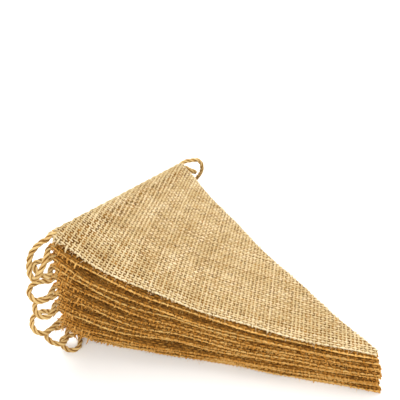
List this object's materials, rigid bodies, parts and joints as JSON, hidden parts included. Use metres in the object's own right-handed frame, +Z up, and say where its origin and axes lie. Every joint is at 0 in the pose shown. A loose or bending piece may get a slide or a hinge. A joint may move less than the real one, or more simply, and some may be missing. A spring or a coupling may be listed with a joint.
{
  "type": "fabric bunting",
  "caption": "Folded stack of plain triangular hessian pennants, threaded through their rolled hems on a twisted jute cord that loops from each pennant to the next.",
  "frame": {"origin": "middle of the pennants' box, on the surface that the stack lies on", "axes": "+X from the hems towards the pennants' tips, +Y along the hems towards the lower corner of the stack, +Z up"},
  "size_m": [0.2346, 0.1977, 0.1155],
  "materials": {
    "hessian_cloth": "matte, open plain weave",
    "jute_cord": "matte, three-strand twist"
  },
  "bodies": {
    "root": {"pennant_01": "hessian_cloth", "pennant_02": "hessian_cloth", "pennant_03": "hessian_cloth", "pennant_04": "hessian_cloth", "pennant_05": "hessian_cloth", "pennant_06": "hessian_cloth", "pennant_07": "hessian_cloth", "pennant_08": "hessian_cloth", "pennant_09": "hessian_cloth", "pennant_10": "hessian_cloth", "pennant_11": "hessian_cloth", "pennant_12": "hessian_cloth", "pennant_13": "hessian_cloth", "pennant_14": "hessian_cloth", "loop_near_1": "jute_cord", "loop_near_2": "jute_cord", "loop_near_3": "jute_cord", "loop_near_4": "jute_cord", "loop_near_5": "jute_cord", "loop_near_6": "jute_cord", "loop_near_7": "jute_cord", "loop_far_1": "jute_cord", "loop_far_2": "jute_cord", "loop_far_3": "jute_cord", "loop_far_4": "jute_cord", "loop_far_5": "jute_cord", "loop_far_6": "jute_cord", "lead_top": "jute_cord", "lead_bottom": "jute_cord"}
  },
  "joints": []
}
